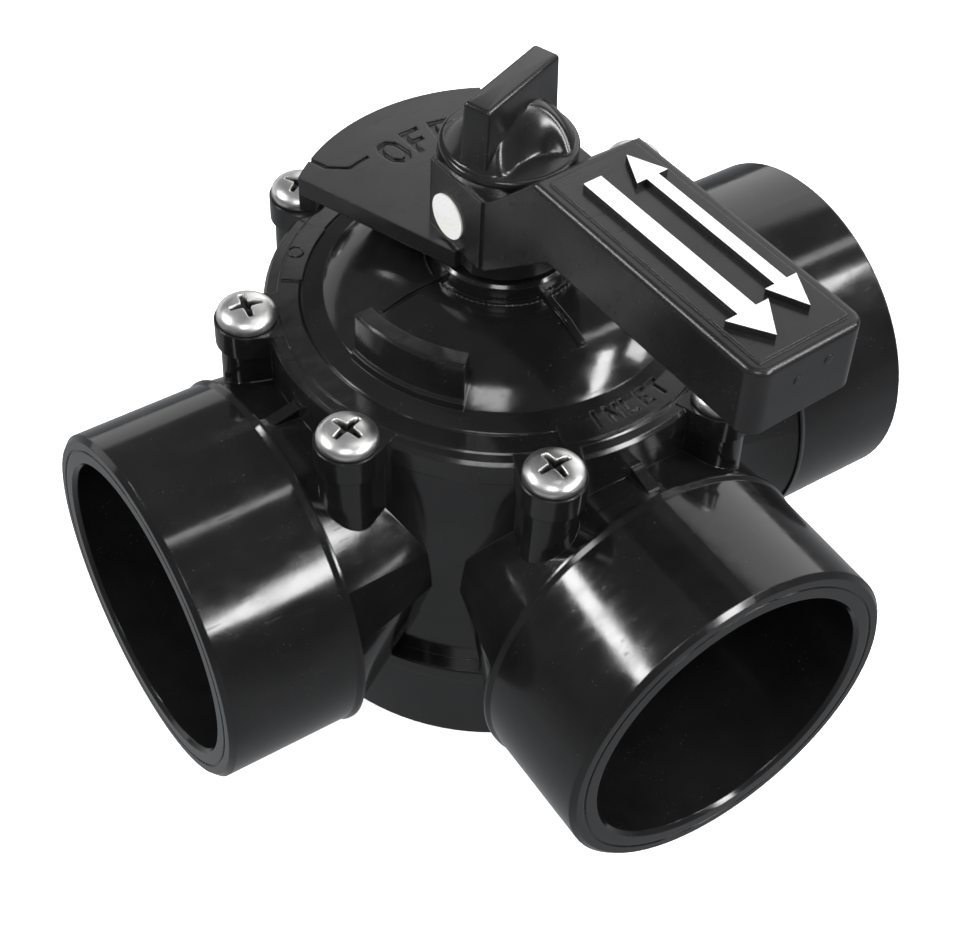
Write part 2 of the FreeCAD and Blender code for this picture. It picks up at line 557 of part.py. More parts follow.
def make_stem_key():
    body = new_body("stem_key")
    extrude(body, rectangle("-key_width / 2", "key_width / 2", "stem_radius - key_depth",
                            "stem_radius + key_rise"), "key_high - key_low", out="key_low")
    stand_turned(body)
    return body


# ------------------------------------------------------------------ handle and knob
def make_handle():
    body = new_body("handle")
    side = polygon([("hub_back", "facet_low"), ("hub_back", "hub_top"),
                    ("-hub_front", "hub_top"), ("-grip_start", "grip_top"),
                    ("-grip_end", "grip_top"), ("-grip_end", "grip_low"),
                    ("-haunch_start", "grip_low"), ("-hub_front", "facet_low")])
    block = extrude(body, side, "2 * grip_half", role="YZ_Plane", middle=True)

    def corner(edge):
        box = edge.BoundBox
        at_end = abs(box.YMin + size("grip_end")) < 0.01 and box.YLength < 0.01
        return at_end and box.XLength < 0.01
    rounded = round_edges(body, block, "grip_corner", corner)

    def crest(edge):
        box = edge.BoundBox
        return box.ZMin > size("grip_top") - 0.01 and box.YMin < -size("grip_start") - 1
    round_edges(body, rounded, "grip_crest", crest)
    extrude(body, flatted("collar_outer", "hub_half"), "hub_top - hub_bottom", out="hub_bottom")
    extrude(body, rectangle("-facet_front", "hub_back", "facet_low", "hub_top - 0.4"),
            "facet_thick", role="YZ_Plane", out="-hub_half - facet_thick")
    extrude(body, rectangle("panel_inset - grip_half", "grip_half - panel_inset",
                            "panel_inset - grip_end", "-panel_start"),
            "panel_height", out="grip_top")
    extrude(body, circle_at("0", "0", "knob_room"), "grip_top - hub_top + 1", cut=True,
            out="hub_top")
    rim = "sqrt(plate_radius ^ 2 - plate_half_far ^ 2)"
    fan = "(asin(plate_half_far / plate_radius) / 1 deg)"
    extrude(body, polygon([("plate_half_near", "-plate_near"),
                           ("plate_half_far", rim, "plate_radius"), ("-plate_half_far", rim),
                           ("-plate_half_near", "-plate_near")]),
            "plate_thick", out="plate_top - plate_thick")
    revolve(body, [("plate_radius - skirt_wall", "skirt_low"), ("plate_radius - 0.02", "skirt_low"),
                   ("plate_radius - 0.02", "plate_top - 1"),
                   ("plate_radius - skirt_wall", "plate_top - 1")],
            turn="90 - " + fan, sweep="2 * " + fan)
    extrude(body, rectangle("-lug_half", "lug_half", "stop_inner + 0.2", "stop_outer - 0.2"),
            "plate_top - lug_low - 1", out="lug_low")
    extrude(body, rectangle("grip_wall - grip_half", "grip_half - grip_wall",
                            "grip_wall - grip_end", "-haunch_start - 1"),
            "grip_top - grip_wall - grip_low + 1", cut=True, out="grip_low - 1")
    extrude(body, flatted("(drive_radius + turning_gap)", "(drive_flat + turning_gap)"),
            "hub_top - hub_bottom + 2", cut=True, out="hub_bottom - 1")
    extrude(body, circle_at("0", "0", "clip_pocket"), "hub_top - clip_low + 1", cut=True,
            out="clip_low")
    engrave(body, "OFF", "off_radius", 1, "90", "off_letter", "off_step", "plate_top",
            "letter_depth")
    for hand in (1, -1):
        swoosh(body, hand)
    stand_turned(body)
    return body


# Half of the sunk line, as distances from the plate's middle and out from the word's circle.
SWOOSH = [(20.6, 7.6), (21.5, 7.0), (19.9, 2.4), (16.0, -0.4), (10.8, 0.6), (10.8, 1.5),
          (15.8, 0.5), (19.0, 3.0)]


def swoosh(body, hand):
    """A sunk line from the plate's rim to the word on it."""
    extrude(body, polygon([("%d * %s" % (hand, across), "off_radius + %s" % outward)
                           for across, outward in SWOOSH]),
            "letter_depth + 1", cut=True, out="plate_top - letter_depth")


def make_handle_legend():
    """A raised marking: a long arrow with a double-ended one beside it."""
    body = new_body("handle_legend")
    body.AllowCompound = True

    def draw(sketch):
        outline(sketch, arrow("-long_middle", "long_shaft", "long_head", "long_tail", "long_tip",
                              False))
        outline(sketch, arrow("pair_middle", "pair_shaft", "pair_head", "pair_tail", "pair_tip",
                              True))
    extrude(body, draw, "legend_height", out="grip_top + panel_height")
    stand_turned(body)
    return body


def make_handle_label():
    body = new_body("handle_label")
    extrude(body, circle_at("label_back", "label_height", "label_radius"), "label_thick",
            role="YZ_Plane", out="-hub_half - facet_thick - label_thick")
    stand_turned(body)
    return body


def make_handle_clip():
    """A snap ring in the stem's groove, open on one side."""
    body = new_body("handle_clip")
    inner = "drive_radius - clip_groove + turning_gap"
    outer = "clip_pocket - 0.7"
    low = "clip_low + 0.02"
    high = "clip_low + clip_thick - 0.02"
    revolve(body, [(inner, low), (outer, low), (outer, high), (inner, high)],
            turn="clip_start", sweep="clip_sweep")
    stand_turned(body)
    return body


def make_locking_knob():
    body = new_body("locking_knob")
    revolve(body, [("0", "knob_low"), ("knob_radius - knob_edge", "knob_low"),
                   ("knob_radius", "knob_low + knob_edge"),
                   ("knob_radius", "knob_low + knob_rim - knob_bevel"),
                   ("knob_radius - knob_bevel", "knob_low + knob_rim", "knob_scoop"),
                   ("knob_crown_radius", "knob_crown"), ("0", "knob_crown")])
    extrude(body, polygon([("-blade_half - blade_flare", "knob_low + knob_rim"),
                           ("blade_half + blade_flare", "knob_low + knob_rim"),
                           ("blade_half", "blade_top"),
                           ("-blade_half", "blade_top")]), "blade_thick", role="XZ_Plane",
            middle=True)
    extrude(body, circle_at("0", "0", "insert_radius"), "insert_top - knob_low + 1", cut=True,
            out="knob_low - 1")
    stand_turned(body, "blade_turn")
    return body


# ------------------------------------------------------------------ screws
def make_cover_screws():
    """Eight pan-head screws with a cross recess, one on each ear."""
    body = new_body("cover_screws")
    body.AllowCompound = True
    shank = extrude(body, circle_at("bolt_circle", "0", "screw_radius"), "screw_length + 1",
                    out="ear_top - screw_length", turn="bolt_angle")
    sketch = new_sketch(body, "XZ_Plane", turn="bolt_angle")
    outline(sketch, [("bolt_circle", "ear_top"), ("bolt_circle + head_radius - 0.2", "ear_top"),
                     ("bolt_circle + head_radius", "ear_top + 0.3"),
                     ("bolt_circle + head_radius", "ear_top + head_edge", "head_shoulder"),
                     ("bolt_circle + head_flat", "ear_top + head_height - 0.2", "head_dome"),
                     ("bolt_circle", "ear_top + head_height")])
    edge = sketch.addGeometry(Part.LineSegment(
        FreeCAD.Vector(size("bolt_circle"), size("ear_top") - 5, 0),
        FreeCAD.Vector(size("bolt_circle"), size("ear_top") + 9, 0)), True)
    pin(sketch, edge, 1, "bolt_circle", "ear_top - 5")
    pin(sketch, edge, 2, "bolt_circle", "ear_top + 9")
    head = body.newObject("PartDesign::Revolution", "screw_head")
    head.Profile = sketch
    head.ReferenceAxis = (sketch, ["Axis0"])
    doc.recompute()
    arm, web = "cross_reach", "(cross_width / 2)"
    corners = [(arm, web), (web, web), (web, arm)]
    cross = []
    for turn_sign in ((1, 1, False), (-1, 1, True), (-1, -1, False), (1, -1, True)):
        ordered = list(reversed(corners)) if turn_sign[2] else corners
        cross += [("bolt_circle + %d * %s" % (turn_sign[0], across),
                   "%d * %s" % (turn_sign[1], upward)) for across, upward in ordered]
    recess = extrude(body, polygon(cross), "cross_depth + 1", cut=True,
                     out="ear_top + head_height - cross_depth", turn="bolt_angle")
    polar(body, [shank, head, recess], 8)
    return body


make_valve_body()
make_cover()
make_diverter()
make_diverter_seal()
make_stem()
make_stem_key()
make_handle()
make_handle_legend()
make_handle_label()
make_handle_clip()
make_locking_knob()
make_cover_screws()
make_seal_ring("cover_seal_ring", "(seal_inner + seal_outer) / 2", "joint_height - seal_wire",
               "seal_wire")
make_seal_ring("stem_seal_lower", "stem_radius - ring_wire", "lower_ring", "ring_wire")
make_seal_ring("stem_seal_upper", "stem_radius - ring_wire", "upper_ring", "ring_wire")
make_ring("stem_bushing", "bush_bore", "bush_outer", "bush_low", "bush_top")
make_ring("neck_wiper", "stem_radius + 0.1", "bush_outer", "bush_top", "wiper_top")
make_ring("upper_thrust_washer", "stem_radius + loose_gap", "collar_radius - loose_gap",
          "collar_top", "thrust_face - turning_gap")
make_ring("lower_thrust_washer", "pivot_radius + loose_gap", "pivot_boss_radius - loose_gap",
          "pivot_boss_top", "lower_disc_low - turning_gap")
make_ring("foot_bushing", "pivot_radius + turning_gap", "foot_bush_outer", "foot_bush_low",
          "foot_bush_top")
make_ring("knob_washer", "drive_radius + loose_gap", "knob_radius - knob_bevel", "hub_top",
          "hub_top + washer_thick")
make_ring("knob_insert", "thread_radius + turning_gap", "insert_radius", "knob_low + knob_edge",
          "insert_top")
doc.recompute()
for item in doc.Objects:
    if "Invalid" in item.State or "Error" in item.State:
        raise RuntimeError("%s failed: %s" % (item.Name, item.State))
bodies = [item for item in doc.Objects if item.TypeId == "PartDesign::Body"]
for item in bodies:
    if item.Shape.isNull() or not item.Shape.isValid():
        raise RuntimeError("%s has no sound shape" % item.Label)
for item in bodies:
    item.Shape.exportStep("parts/%s.step" % item.Label)
    print(item.Label, len(item.Shape.Solids), "solids", round(item.Shape.Volume / 1000, 2), "cm3")
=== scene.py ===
# %% [markdown]
# # A three way diverter valve, finished in Blender
#
# The valve comes from CAD as a set of named nodes that already stand where they belong. This
# lesson gives every one of them a finish, models a few pieces again where moulded or pressed
# detail matters, and then lights the valve as on a studio table. All lengths are metres, so a
# length told in millimetres is written times MM.

# %% Load the fixed frame
import math

import bpy
import numpy as np
from mathutils import Matrix, Vector


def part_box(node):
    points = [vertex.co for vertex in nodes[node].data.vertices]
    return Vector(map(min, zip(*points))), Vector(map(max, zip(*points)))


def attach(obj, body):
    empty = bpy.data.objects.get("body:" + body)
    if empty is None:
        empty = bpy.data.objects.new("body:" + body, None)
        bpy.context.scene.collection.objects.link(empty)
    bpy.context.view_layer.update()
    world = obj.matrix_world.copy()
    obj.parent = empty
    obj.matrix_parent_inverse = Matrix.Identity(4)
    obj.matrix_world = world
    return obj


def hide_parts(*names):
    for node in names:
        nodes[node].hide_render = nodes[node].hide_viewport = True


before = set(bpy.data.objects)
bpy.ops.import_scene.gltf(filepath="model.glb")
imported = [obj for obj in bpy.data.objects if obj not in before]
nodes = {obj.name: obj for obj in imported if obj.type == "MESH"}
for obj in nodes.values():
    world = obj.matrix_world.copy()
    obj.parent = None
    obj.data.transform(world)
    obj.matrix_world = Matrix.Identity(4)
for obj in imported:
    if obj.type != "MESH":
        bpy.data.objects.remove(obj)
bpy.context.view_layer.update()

MM = 0.001
MICROMETRE = 1e-6

# %% [markdown]
# ## Reading the valve's own places
#
# The heights of the knob and of the screws are read from their nodes' boxes, so when the CAD
# model moves them up or down, the Blender pieces follow. A box can't tell the size of a screw's
# head or the circle that the screws stand on, so those are written here once.

# %% Places of the knob and the screws
knob_low, knob_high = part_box("locking_knob")
screw_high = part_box("cover_screws")[1]
screw_head_radius = 5.8 * MM
screw_head_height = 3.4 * MM
bolt_circle = 49.6 * MM
print("knob from", round(knob_low.z / MM, 1), "to", round(knob_high.z / MM, 1), "mm")
print("screw heads end at", round(screw_high.z / MM, 1), "mm")


# %% [markdown]
# ## A small vocabulary for materials
#
# Every finish here is a network of nodes, and the same few steps come back: make a node, set
# its sockets, link it. A handful of helpers keeps each recipe short enough to read. Patterns
# are read in Object coordinates, which are metres in the valve's own frame, so a scale of 700
# gives features about one and a half millimetres across.

# %% Helpers for node networks
def start_material(name):
    """A fresh material with its Principled shader and its Object coordinates."""
    material = bpy.data.materials.new(name)
    material.use_nodes = True
    tree = material.node_tree
    shader = tree.nodes["Principled BSDF"]
    place = tree.nodes.new("ShaderNodeTexCoord").outputs["Object"]
    return material, tree, shader, place


def add(tree, kind, inputs=None, **settings):
    """One node: settings are its properties, inputs are values or sockets to link."""
    node = tree.nodes.new(kind)
    for key, value in settings.items():
        setattr(node, key, value)
    for key, value in (inputs or {}).items():
        if isinstance(value, bpy.types.NodeSocket):
            tree.links.new(value, node.inputs[key])
        else:
            node.inputs[key].default_value = value
    return node


def plug_in(tree, shader, colour, rough, normal):
    """Link a recipe's three results to its shader."""
    for socket, value in (("Base Color", colour), ("Roughness", rough), ("Normal", normal)):
        tree.links.new(value, shader.inputs[socket])


# %% Helpers for patterns
def noise(tree, place, scale, detail=2.0, rough=0.5, stretch=None):
    """Soft random clouds; stretch squeezes the pattern along an axis to make streaks."""
    if stretch:
        place = add(tree, "ShaderNodeMapping", {"Vector": place, "Scale": stretch}).outputs[0]
    made = add(tree, "ShaderNodeTexNoise", {"Vector": place, "Scale": scale, "Detail": detail,
                                            "Roughness": rough})
    return made.outputs["Fac"]


def between(tree, value, given, wanted):
    """Carry a value from the given range to the wanted one, held at the ends."""
    made = add(tree, "ShaderNodeMapRange", {"Value": value,
                                            "From Min": given[0], "From Max": given[1],
                                            "To Min": wanted[0], "To Max": wanted[1]})
    return made.outputs["Result"]


def combine(tree, how, first, second):
    """One sum on two values."""
    return add(tree, "ShaderNodeMath", {0: first, 1: second}, operation=how).outputs[0]


def bump(tree, height, normal, depth):
    """Lean a normal by a pattern of heights, depth micrometres from its low to its high."""
    made = add(tree, "ShaderNodeBump", {"Height": height, "Normal": normal,
                                        "Distance": depth * MICROMETRE, "Strength": 1.0})
    return made.outputs[0]


# %% Helpers for colours
def tinted(colour, factor=1.0, lift=0.0):
    """A colour's parts times a factor plus a lift, at most 1, as the four values of a socket."""
    return (*[min(1.0, part * factor + lift) for part in colour], 1.0)


def mix_colours(tree, amount, first, second):
    """Blend two colours by an amount from 0 to 1. The Mix node has sockets for each kind of
    value under the same names, so the ones for colours are told by number: 6 and 7 in, 2 out."""
    made = add(tree, "ShaderNodeMix", {0: amount, 6: first, 7: second}, data_type="RGBA")
    return made.outputs[2]


# %% Helpers for edges
def rounded_normal(tree, radius):
    """The normal that the surface would have if its edges were rounded to a radius."""
    return add(tree, "ShaderNodeBevel", {"Radius": radius}, samples=4).outputs[0]


def edge_mask(tree, soft):
    """1 on sharp edges and 0 on open faces: how far a rounded normal leans from the true one."""
    true = add(tree, "ShaderNodeNewGeometry").outputs["True Normal"]
    lean = add(tree, "ShaderNodeVectorMath", {0: soft, 1: true}, operation="DOT_PRODUCT")
    return between(tree, lean.outputs["Value"], (0.98, 0.72), (0.0, 1.0))


# %% [markdown]
# ## Moulded black plastic
#
# The body, cover, handle and knob are injection moulded and black all through. Fresh from the
# tool such a surface is a mirror with faults: a slight orange peel, slow waves where the wall
# shrank over ribs, and a faint haze from handling. Colour hardly varies, so the recipe spends
# its nodes on roughness and bump. Sharp moulded edges are really tiny rounds of a few tenths
# of a millimetre, and a Bevel node gives them their thin highlight without any more faces.

# %% Moulded plastic recipe
DUST = (0.11, 0.108, 0.1, 1.0)
SCUFFED = (0.2, 0.2, 0.2, 1.0)
SCUFF_PALER, SCUFF_ROUGHER, HAIR_ROUGHER = 0.05, 0.08, 0.06
PEEL_DEPTH, WAVE_DEPTH = 3.0, 45.0


def moulded_plastic(name, shade, gloss, haze, peel_size=1.4, grain_depth=0.0, edge=0.35):
    """Black plastic. gloss is its roughness and haze what handling adds. The size of the orange
    peel and the edge's radius are in millimetres, and the depth of the etched grain is in
    micrometres, as those of the peel and the waves are."""
    material, tree, shader, place = start_material(name)
    soft = rounded_normal(tree, edge * MM)
    clouds = noise(tree, place, scale=45.0, detail=4.0, rough=0.6)
    smears = noise(tree, place, scale=120.0, detail=3.0, rough=0.55, stretch=(1.0, 2.6, 0.7))
    specks = noise(tree, place, scale=2600.0, detail=1.0)
    hairs = noise(tree, place, scale=900.0, detail=1.0, stretch=(0.12, 1.0, 1.0))
    worn = combine(tree, "MULTIPLY", edge_mask(tree, soft),
                   between(tree, clouds, (0.35, 0.65), (0.3, 1.0)))

    colour = mix_colours(tree, between(tree, clouds, (0.35, 0.68), (0.0, 1.0)),
                         tinted(shade, 0.75), tinted(shade, 1.35, 0.001))
    dusty = combine(tree, "MULTIPLY", between(tree, specks, (0.7, 0.76), (0.0, 0.5)),
                    between(tree, smears, (0.5, 0.7), (0.0, 1.0)))
    colour = mix_colours(tree, dusty, colour, DUST)
    colour = mix_colours(tree, combine(tree, "MULTIPLY", worn, SCUFF_PALER), colour, SCUFFED)

    rough = combine(tree, "ADD", between(tree, smears, (0.38, 0.7), (gloss, gloss + haze)),
                    combine(tree, "MULTIPLY", worn, SCUFF_ROUGHER))
    rough = combine(tree, "ADD", rough, between(tree, hairs, (0.7, 0.74), (0.0, HAIR_ROUGHER)))

    peel = noise(tree, place, scale=1000.0 / peel_size, detail=1.0)
    waves = noise(tree, place, scale=70.0, detail=0.0)
    normal = bump(tree, waves, bump(tree, peel, soft, PEEL_DEPTH), WAVE_DEPTH)
    if grain_depth:
        grain = noise(tree, place, scale=4200.0, detail=2.0, rough=0.7)
        normal = bump(tree, grain, normal, grain_depth)
    plug_in(tree, shader, colour, rough, normal)
    shader.inputs["IOR"].default_value = 1.5
    return material


body_black = moulded_plastic("body_black", (0.007, 0.007, 0.0074), gloss=0.10, haze=0.07)
cover_black = moulded_plastic("cover_black", (0.008, 0.008, 0.0084), gloss=0.11, haze=0.08,
                              peel_size=1.1)
handle_black = moulded_plastic("handle_black", (0.010, 0.010, 0.0105), gloss=0.24, haze=0.035,
                               peel_size=0.9, grain_depth=3.5, edge=0.45)
knob_black = moulded_plastic("knob_black", (0.010, 0.010, 0.0105), gloss=0.17, haze=0.05,
                             peel_size=1.2, edge=0.3)
print("four blacks")

# %% [markdown]
# ## The pieces inside
#
# The diverter, its stem and the bearings are seen through the ports or where the handle lifts
# clear. They share one recipe for plain moulded parts: a colour with slow variation, a little
# grain, and an edge that is a touch lighter. Rubber uses it too, with more grain and no gloss.

# %% Plain moulded parts
RUBBED_EDGE = (0.6, 0.6, 0.58, 1.0)


def plain_moulding(name, colour, rough, spread, grain, depth):
    """A dull moulded finish: spread is the colour's variation, grain a size in millimetres and
    depth micrometres."""
    material, tree, shader, place = start_material(name)
    soft = rounded_normal(tree, 0.2 * MM)
    clouds = noise(tree, place, scale=110.0, detail=4.0, rough=0.6)
    patches = noise(tree, place, scale=400.0, detail=3.0)
    fine = noise(tree, place, scale=1000.0 / grain, detail=2.0, rough=0.65)
    shade = mix_colours(tree, between(tree, clouds, (0.35, 0.65), (0.0, 1.0)),
                        tinted(colour, 1 - spread), tinted(colour, 1 + spread))
    rubbed = combine(tree, "MULTIPLY", edge_mask(tree, soft), 0.12)
    shade = mix_colours(tree, rubbed, shade, RUBBED_EDGE)
    plug_in(tree, shader, shade,
            between(tree, patches, (0.3, 0.7), (rough - 0.06, rough + 0.08)),
            bump(tree, fine, soft, depth))
    return material


rotor_grey = plain_moulding("rotor_grey", (0.030, 0.030, 0.032), rough=0.42, spread=0.25,
                            grain=0.5, depth=8.0)
stem_black = plain_moulding("stem_black", (0.016, 0.016, 0.016), rough=0.38, spread=0.3,
                            grain=0.25, depth=6.0)
bearing_white = plain_moulding("bearing_white", (0.80, 0.79, 0.74), rough=0.34, spread=0.05,
                               grain=0.6, depth=4.0)
seal_rubber = plain_moulding("seal_rubber", (0.014, 0.014, 0.014), rough=0.62, spread=0.3,
                             grain=0.18, depth=9.0)
print("four inner finishes")


# %% [markdown]
# ## Metal
#
# The cover screws are pressed from stainless wire and tumbled clean. Under a soft light such
# a head is nearly white, with faint rings from the die and a duller bruise here and there. Its
# cross is painted darker the deeper it goes, a painted shade in the recess. The screws read
# their rings from their own UV map, with the turn along U and the radius along V, so the rings
# run round each head and not across all of them. The other metal pieces have no such map, and
# nearly all of them are round and stand about the stem. Their streaks are thin level layers of
# a pattern in space, which is how a lathe marks an upright wall.

# %% Metal recipe
# Painted shade: the cross recess is darkened towards this colour, the more the deeper it is.
RECESS_SHADE_COLOUR = (0.035, 0.032, 0.03, 1.0)


def metal(name, colour, rough, rings, own_map=False):
    """A turned or pressed metal. rings is the depth of the tool rings in micrometres, and
    own_map says that the piece carries turn and radius as its UV map and, as an attribute, the
    painted shade of its recesses."""
    material, tree, shader, place = start_material(name)
    soft = rounded_normal(tree, 0.15 * MM)
    clouds = noise(tree, place, scale=260.0, detail=4.0, rough=0.6)
    shade = mix_colours(tree, between(tree, clouds, (0.42, 0.66), (0.0, 0.7)),
                        tinted(colour), tinted(colour, 0.72))
    if own_map:
        turn_and_radius = add(tree, "ShaderNodeTexCoord").outputs["UV"]
        streaks = noise(tree, turn_and_radius, scale=60.0, detail=3.0, rough=0.6,
                        stretch=(0.06, 1.0, 1.0))
        # Painted shade in the recesses, read from the attribute that grows with the dent's depth.
        recess_shade = add(tree, "ShaderNodeAttribute", attribute_name="recess_shade").outputs["Fac"]
        shade = mix_colours(tree, recess_shade, shade, RECESS_SHADE_COLOUR)
    else:
        streaks = noise(tree, place, scale=2500.0, detail=3.0, rough=0.6,
                        stretch=(0.05, 0.05, 1.0))
    worn = combine(tree, "ADD", between(tree, clouds, (0.4, 0.7), (rough - 0.05, rough + 0.12)),
                   between(tree, streaks, (0.3, 0.7), (-0.03, 0.06)))
    plug_in(tree, shader, shade, worn, bump(tree, streaks, soft, rings))
    shader.inputs["Metallic"].default_value = 1.0
    return material


screw_steel = metal("screw_steel", (0.88, 0.875, 0.86), rough=0.34, rings=1.0, own_map=True)
plain_steel = metal("plain_steel", (0.60, 0.59, 0.57), rough=0.26, rings=1.5)
turned_brass = metal("turned_brass", (0.72, 0.50, 0.22), rough=0.24, rings=2.0)
print("three metals")


# %% [markdown]
# ## White marking and label
#
# The grip's raised marking is black plastic with a white foil pressed on its top. Foil wears
# through at the edges and in pin holes, so the recipe lets a little black show. The round
# label on the hub is a smooth vinyl dot with a soft sheen. Both have yellowed a little, in slow
# patches.

# %% White finishes
YELLOWED = (0.95, 0.94, 0.89)
BLACK_BELOW = (0.02, 0.02, 0.02, 1.0)
BLACK_WALLS = (0.01, 0.01, 0.0105, 1.0)
FOIL_DEPTH = 5.0


def white_foil(name, colour, rough, pin_holes, black_sides=False):
    """Opaque white over black: pin_holes is how much of the foil has worn through. A raised
    marking has its foil on top only, and black_sides leaves its walls as moulded."""
    material, tree, shader, place = start_material(name)
    soft = rounded_normal(tree, 0.2 * MM)
    fine = noise(tree, place, scale=1900.0, detail=3.0, rough=0.7)
    clouds = noise(tree, place, scale=160.0, detail=2.0)
    aged = [part * shift for part, shift in zip(colour, YELLOWED)]
    shade = mix_colours(tree, between(tree, clouds, (0.4, 0.65), (0.0, 1.0)),
                        tinted(colour), tinted(aged))
    wear = combine(tree, "ADD", fine,
                   combine(tree, "MULTIPLY", edge_mask(tree, soft), pin_holes))
    bare = between(tree, wear, (0.74, 0.8), (0.0, 0.85))
    shade = mix_colours(tree, bare, shade, BLACK_BELOW)
    if black_sides:
        facing = add(tree, "ShaderNodeNewGeometry").outputs["True Normal"]
        lifted = add(tree, "ShaderNodeSeparateXYZ", {"Vector": facing}).outputs["Z"]
        shade = mix_colours(tree, between(tree, lifted, (0.4, 0.6), (0.0, 1.0)),
                            BLACK_WALLS, shade)
    plug_in(tree, shader, shade, between(tree, fine, (0.3, 0.7), (rough - 0.08, rough + 0.1)),
            bump(tree, fine, soft, FOIL_DEPTH))
    return material


print_white = white_foil("print_white", (0.86, 0.86, 0.85), rough=0.42, pin_holes=0.12,
                         black_sides=True)
label_white = white_foil("label_white", (0.96, 0.96, 0.955), rough=0.30, pin_holes=0.02)
print("two whites")

# %% [markdown]
# ## Dressing the CAD nodes
#
# A CAD node whose shape is right keeps its mesh and only changes its material slot. One table
# says which finish belongs to which node. The knob and the screws are in it too, although the
# pieces made further on take their places.

# %% One finish for each node
finishes = {
    body_black: ["valve_body"],
    cover_black: ["cover"],
    handle_black: ["handle"],
    knob_black: ["locking_knob"],
    rotor_grey: ["diverter"],
    stem_black: ["stem"],
    bearing_white: ["stem_bushing", "upper_thrust_washer", "lower_thrust_washer", "foot_bushing"],
    seal_rubber: ["cover_seal_ring", "diverter_seal", "stem_seal_lower", "stem_seal_upper",
                  "neck_wiper"],
    plain_steel: ["stem_key", "knob_washer", "handle_clip", "cover_screws"],
    turned_brass: ["knob_insert"],
    print_white: ["handle_legend"],
    label_white: ["handle_label"],
}
for finish, names in finishes.items():
    for name in names:
        for material_slot in nodes[name].material_slots:
            material_slot.material = finish
print(sum(map(len, finishes.values())), "of", len(nodes), "nodes dressed")


# %% [markdown]
# ## Surfaces on a grid
#
# Each new piece is a grid of points over two parameters: one runs round the piece, the other
# along its outline. The whole grid is computed at once as arrays. Rings close on themselves,
# and an outline that starts or ends on the axis closes there with a single pole point. A face
# points the way that its corners turn, so a grid walked from the top down has its rings turned
# the other way round, and its faces point outwards.

# %% Grids and their faces
QUARTER_ROUND = np.linspace(0, math.pi / 2, 7)[1:]


def once_round(steps):
    """Angles of a full turn in even steps, with the last step left to close it."""
    return np.linspace(0, 2 * math.pi, steps, endpoint=False)


def turn_grid(radii, around):
    """Radius and angle at every point of a grid of rings."""
    return np.meshgrid(radii, once_round(around), indexing="ij")


def grid_faces(rings, around):
    """Quads between neighbouring rings of a grid that closes on itself, as an index array."""
    ring, step = np.meshgrid(np.arange(rings - 1), np.arange(around), indexing="ij")
    here = ring * around + step
    beside = ring * around + (step + 1) % around
    return np.stack([here, here + around, beside + around, beside], axis=-1).reshape(-1, 4)


def pole_faces(pole, first, around, flip):
    """Triangles from a pole point to one ring."""
    step = np.arange(around)
    here, beside = first + step, first + (step + 1) % around
    fan = np.stack([np.full(around, pole), here, beside], axis=-1)
    return fan[:, ::-1] if flip else fan


def closed_shell(points):
    """Vertices and faces of one closed shell from a (rings, around, 3) grid whose first and last
    rings shrink to their middles."""
    rings, around, _ = points.shape
    poles = np.stack([points[0].mean(axis=0), points[-1].mean(axis=0)])
    vertices = np.concatenate([points.reshape(-1, 3), poles])
    start, end = rings * around, rings * around + 1
    faces = [*grid_faces(rings, around).tolist(),
             *pole_faces(start, 0, around, False).tolist(),
             *pole_faces(end, (rings - 1) * around, around, True).tolist()]
    return vertices, faces


def smooth(value, low, high):
    """A soft step from 0 to 1 between low and high: three times the square less twice the cube."""
    share = np.clip((value - low) / (high - low), 0, 1)
    return share * share * (3 - 2 * share)


# %% Turn shells into a piece
def make_piece(name, shells, finish, body, uv_pairs=None, recess_shade=None):
    """One object from several closed shells; uv_pairs holds a pair for each vertex, and the last
    argument a value from 0 to 1 for each: how dark the painted shade of a recess makes it."""
    vertices, faces, offset = [], [], 0
    for points, quads in shells:
        vertices.append(points)
        faces += [[index + offset for index in face] for face in quads]
        offset += len(points)
    mesh = bpy.data.meshes.new(name)
    mesh.from_pydata(np.concatenate(vertices).tolist(), [], faces)
    mesh.polygons.foreach_set("use_smooth", np.ones(len(mesh.polygons), bool))
    if uv_pairs is not None:
        corners = np.zeros(len(mesh.loops), np.int32)
        mesh.loops.foreach_get("vertex_index", corners)
        layer = mesh.uv_layers.new(name="turn_and_radius")
        layer.data.foreach_set("uv", np.asarray(uv_pairs, np.float32)[corners].ravel())
    # The painted recess shade is kept as a value on each vertex.
    if recess_shade is not None:
        mesh.attributes.new("recess_shade", "FLOAT", "POINT").data.foreach_set(
            "value", np.asarray(recess_shade, np.float32))
    mesh.update()
    mesh.materials.append(finish)
    piece = bpy.data.objects.new(name, mesh)
    bpy.context.scene.collection.objects.link(piece)
    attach(piece, body)
    print(name, len(mesh.polygons), "faces")
    return piece


# %% [markdown]
# ## Eight cover screws
#
# A pan head is a drum with a rounded brow and a shallow crown, and its cross recess tapers in
# both directions. A boolean cut would give flat, sharp walls. Here the head is a height field
# over turn and radius, and the recess is a smooth dent in it: deepest in the middle, with arms
# whose walls lean. Screws are never tightened to the same angle, so each gets its own turn.

# %% The cross recess
cross_reach = 3.3 * MM
cross_width = 1.25 * MM
cross_depth = 2.4 * MM
# The darkest painted shade, at the bottom of the cross.
deepest_shade = 0.93


def cross_dent(across, along):
    """Depth of the cross recess: each arm narrows outwards and fades to a soft wall, and the
    depth falls towards the arm's end."""
    near = np.minimum(np.abs(across), np.abs(along))
    far = np.maximum(np.abs(across), np.abs(along))
    floor = cross_depth * (1 - 0.55 * np.clip(far / cross_reach, 0, 1) ** 1.3)
    width = cross_width * (1.1 - 0.4 * np.clip(far / cross_reach, 0, 1))
    wall = 1 - smooth(near, width * 0.36, width * 0.62)
    end = 1 - smooth(far, cross_reach * 0.86, cross_reach * 1.04)
    hollow = 1 - smooth(np.hypot(across, along), width * 0.6, width * 1.0)
    return floor * np.maximum(wall * end, hollow)


# %% The screw's outline
brow_height = 1.0 * MM
crown_power = 2.7
